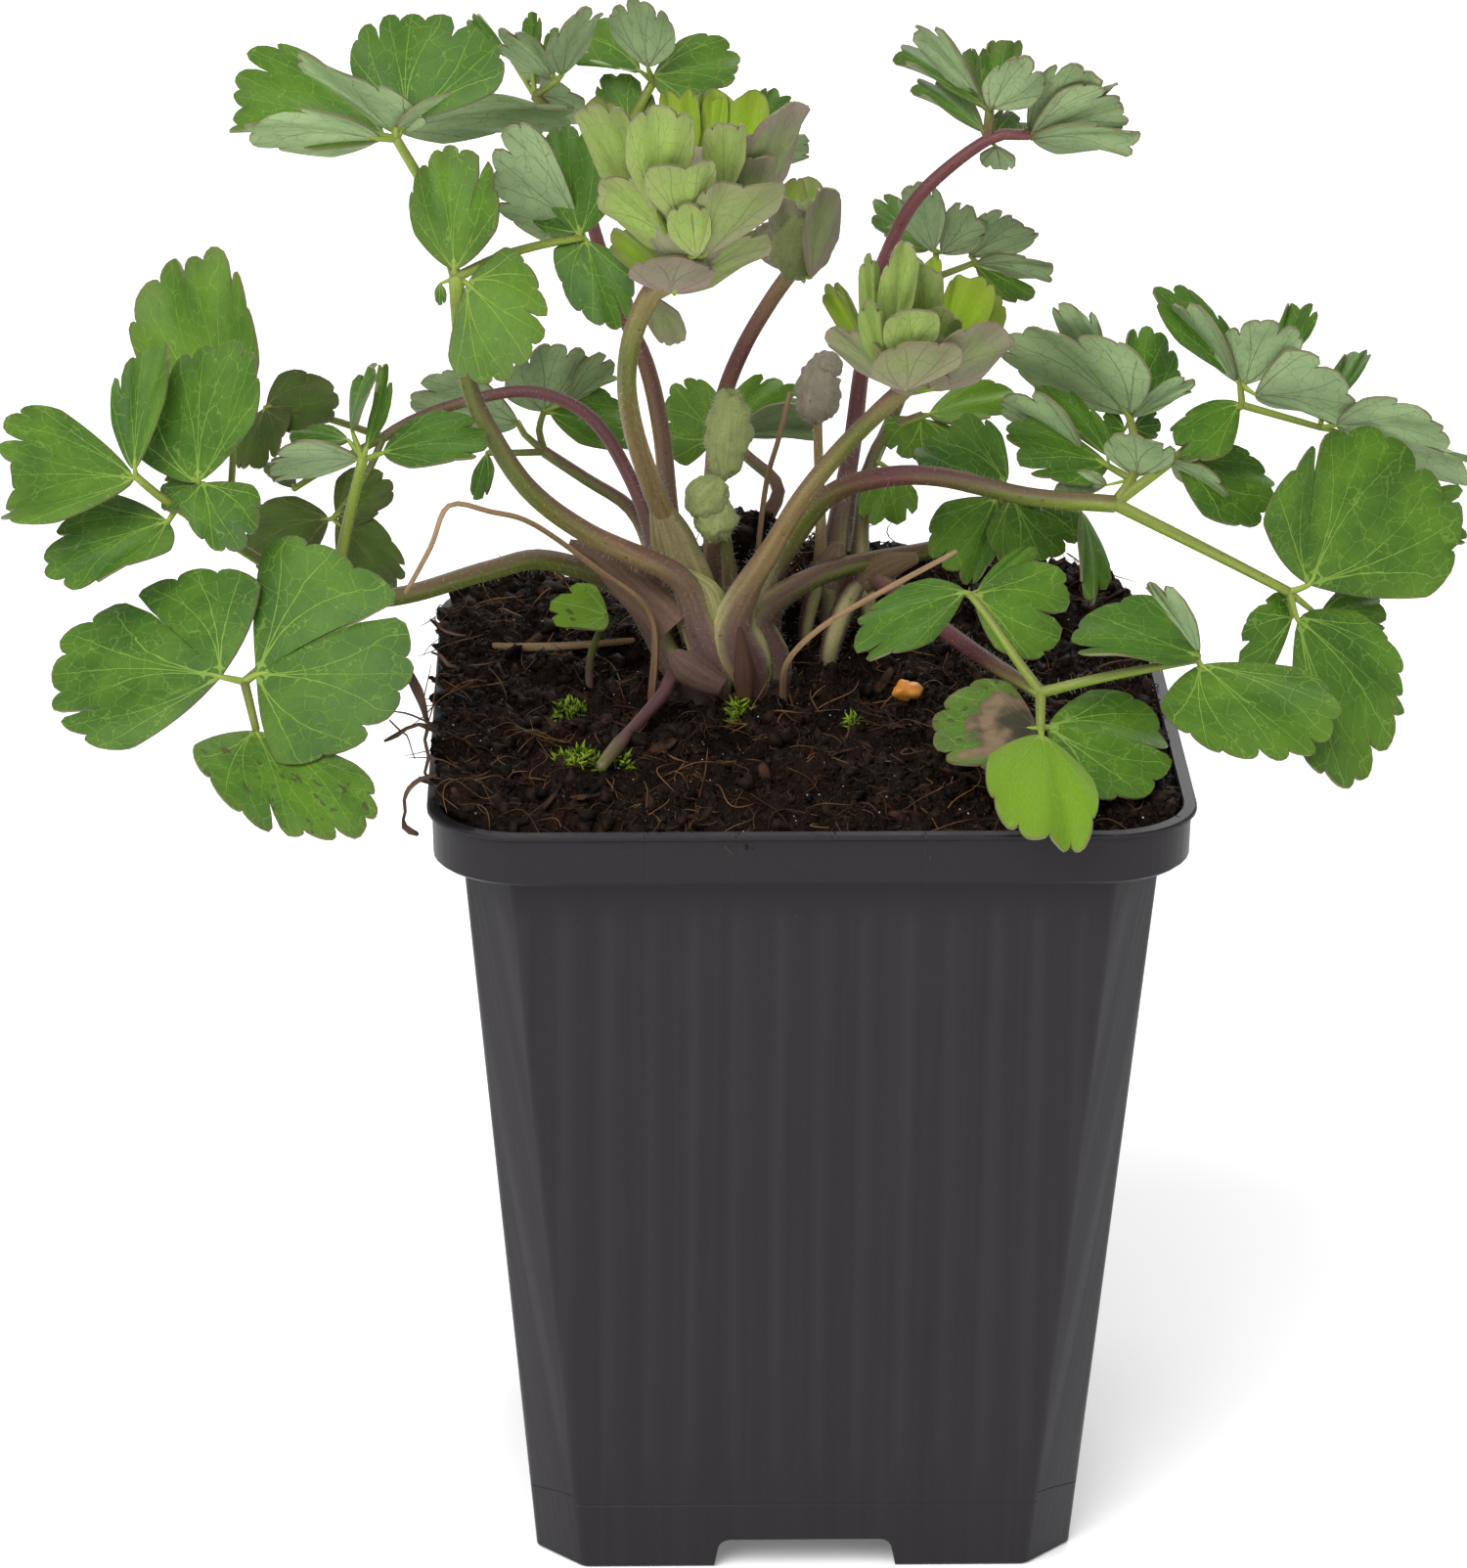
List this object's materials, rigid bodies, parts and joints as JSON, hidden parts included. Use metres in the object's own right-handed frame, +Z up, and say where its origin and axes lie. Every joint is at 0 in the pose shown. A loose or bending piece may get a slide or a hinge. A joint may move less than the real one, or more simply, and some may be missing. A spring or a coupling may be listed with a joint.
{
  "type": "potted columbine",
  "caption": "Young columbine with lobed, scalloped leaflets, curved leaf stalks and half-open leaf rosettes, growing from peat in a square tapered nursery pot.",
  "frame": {"origin": "bottom centre of the box round the pot and plant, on the surface that the pot stands on; the pot's middle is 7.6 mm towards +X and 3.7 mm towards +Y from it", "axes": "+Z up; -Y is the side that the picture shows; +X is to the right in the picture"},
  "size_m": [0.1782, 0.0985, 0.1876],
  "materials": {
    "pot": "satin",
    "soil": "rough, fibrous",
    "crown": "matt",
    "bead": "satin",
    "leaf": "satin",
    "bronze_leaf": "satin",
    "young_leaf": "satin, downy",
    "bud": "downy",
    "straw": "matt"
  },
  "bodies": {
    "root": {"pot": "pot", "soil": "soil", "crown": "crown", "fertiliser_bead": "bead", "leaf_left_front": "leaf", "leaf_left_back": "bronze_leaf", "leaf_top_left": "leaf", "leaf_top_back": "leaf", "leaf_back_left": "leaf", "leaf_back": "leaf", "leaf_top_right": "leaf", "leaf_right_back_top": "leaf", "leaf_right": "leaf", "leaf_right_low": "leaf", "leaf_right_back_low": "leaf", "leaf_right_front": "leaf", "rosette_left": "young_leaf", "rosette_right": "young_leaf", "furled_leaf": "young_leaf", "bud_shoot_front": "bud", "bud_shoot_back": "bud", "seedling": "young_leaf", "dry_stalk_left": "straw", "dry_stalk_back": "straw", "dry_stalk_right": "straw", "dry_stalk_low": "straw"}
  },
  "joints": []
}
